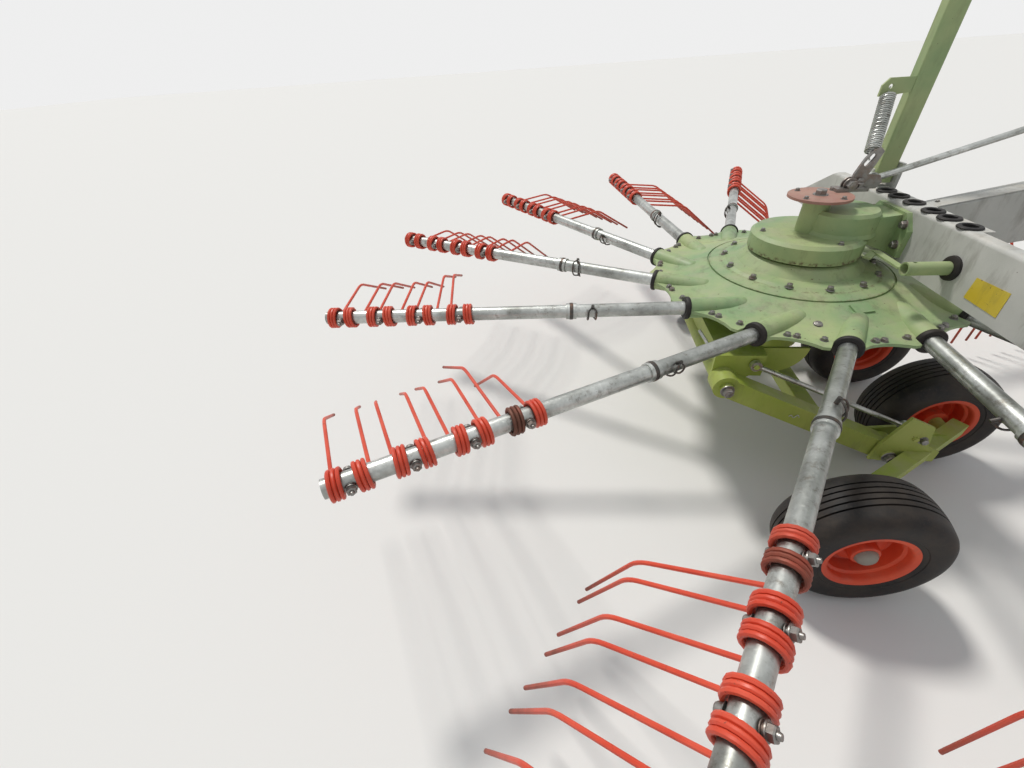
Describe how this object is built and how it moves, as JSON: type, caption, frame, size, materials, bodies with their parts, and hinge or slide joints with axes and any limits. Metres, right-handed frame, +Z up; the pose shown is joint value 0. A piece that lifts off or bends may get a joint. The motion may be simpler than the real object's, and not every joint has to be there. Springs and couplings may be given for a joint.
{
  "type": "single-rotor rotary rake",
  "caption": "Trailed single-rotor hay rake, folded for transport: domed rotor head with radial tine arms, tandem wheels, long drawbar, swivelling headstock, raised guards.",
  "frame": {"origin": "on the ground, at the middle of the machine's box seen from above", "axes": "+X forward, the way it is pulled; +Y to its left; +Z up"},
  "size_m": [3.7693, 3.3449, 2.489],
  "materials": {
    "head_green": "weathered pale green paint",
    "carriage_green": "yellower green paint, dusty",
    "frame_grey": "light grey paint, dusty",
    "galvanised": "galvanised tube, dulled",
    "bare_steel": "bare machined steel",
    "tine_red": "bright red paint on spring wire",
    "rim_red": "red paint",
    "rusty_red": "faded and rusty red paint",
    "tyre": "ribbed rubber, dusty",
    "seal": "black rubber"
  },
  "bodies": {
    "chassis": {"gearbox": "head_green", "column": "bare_steel", "top_disc": "rusty_red", "slotted_lever": "bare_steel", "crossbeam": "frame_grey", "main_beam": "frame_grey", "stub_tube": "head_green", "stay_rod": "galvanised", "tower": "frame_grey", "drive_stub": "bare_steel", "stand_tube": "frame_grey", "carriage_head": "carriage_green", "arm_brace": "carriage_green", "swing_arm_left": "carriage_green", "bogie_left": "carriage_green", "link_rod_left": "galvanised", "swing_arm_right": "carriage_green", "bogie_right": "carriage_green", "link_rod_right": "galvanised"},
    "rotor": {"rotor_head": "head_green", "tine_arms": "galvanised", "seal_rings": "seal", "tines_01": "tine_red", "tines_02": "tine_red", "tines_03": "tine_red", "tines_04": "tine_red", "tines_05": "tine_red", "tines_06": "tine_red", "tines_07": "tine_red", "tines_08": "tine_red", "tines_09": "tine_red", "tines_10": "tine_red", "tines_11": "tine_red", "tines_12": "tine_red", "tines_13": "tine_red"},
    "headstock": {"headstock": "head_green"},
    "stand": {"stand_leg": "galvanised"},
    "guard_left": {"guard_post_left": "head_green", "guard_hoop_left": "galvanised"},
    "wheel_outer_left": {"tyre_outer_left": "tyre", "rim_outer_left": "rim_red"},
    "wheel_inner_left": {"tyre_inner_left": "tyre", "rim_inner_left": "rim_red"},
    "guard_right": {"guard_post_right": "head_green", "guard_hoop_right": "galvanised"},
    "wheel_outer_right": {"tyre_outer_right": "tyre", "rim_outer_right": "rim_red"},
    "wheel_inner_right": {"tyre_inner_right": "tyre", "rim_inner_right": "rim_red"}
  },
  "joints": [
    {"name": "rotor_spin", "type": "hinge", "parent": "chassis", "child": "rotor", "pos_m": [-0.2254, 0.0082, 0.633], "axis": [0, 0, 1], "continuous": true},
    {"name": "headstock_steer", "type": "hinge", "parent": "chassis", "child": "headstock", "pos_m": [1.7346, 0.0082, 0.56], "axis": [0, 0, 1], "range_deg": [-45, 45]},
    {"name": "stand_slide", "type": "slide", "parent": "chassis", "child": "stand", "axis": [0, 0, 1], "range_m": [0, 0.3]},
    {"name": "guard_left_fold", "type": "hinge", "parent": "chassis", "child": "guard_left", "pos_m": [0.0626, 0.2182, 0.93], "axis": [-1, 0, 0], "range_deg": [0, 90]},
    {"name": "wheel_outer_left_spin", "type": "hinge", "parent": "chassis", "child": "wheel_outer_left", "pos_m": [-0.2254, 0.8082, 0.205], "axis": [0, 1, 0], "continuous": true},
    {"name": "wheel_inner_left_spin", "type": "hinge", "parent": "chassis", "child": "wheel_inner_left", "pos_m": [0.2796, 0.2532, 0.205], "axis": [0, 1, 0], "continuous": true},
    {"name": "guard_right_fold", "type": "hinge", "parent": "chassis", "child": "guard_right", "pos_m": [0.0626, -0.6918, 0.93], "axis": [1, 0, 0], "range_deg": [0, 90]},
    {"name": "wheel_outer_right_spin", "type": "hinge", "parent": "chassis", "child": "wheel_outer_right", "pos_m": [-0.2254, -0.7918, 0.205], "axis": [0, 1, 0], "continuous": true},
    {"name": "wheel_inner_right_spin", "type": "hinge", "parent": "chassis", "child": "wheel_inner_right", "pos_m": [0.2796, -0.2368, 0.205], "axis": [0, 1, 0], "continuous": true}
  ]
}
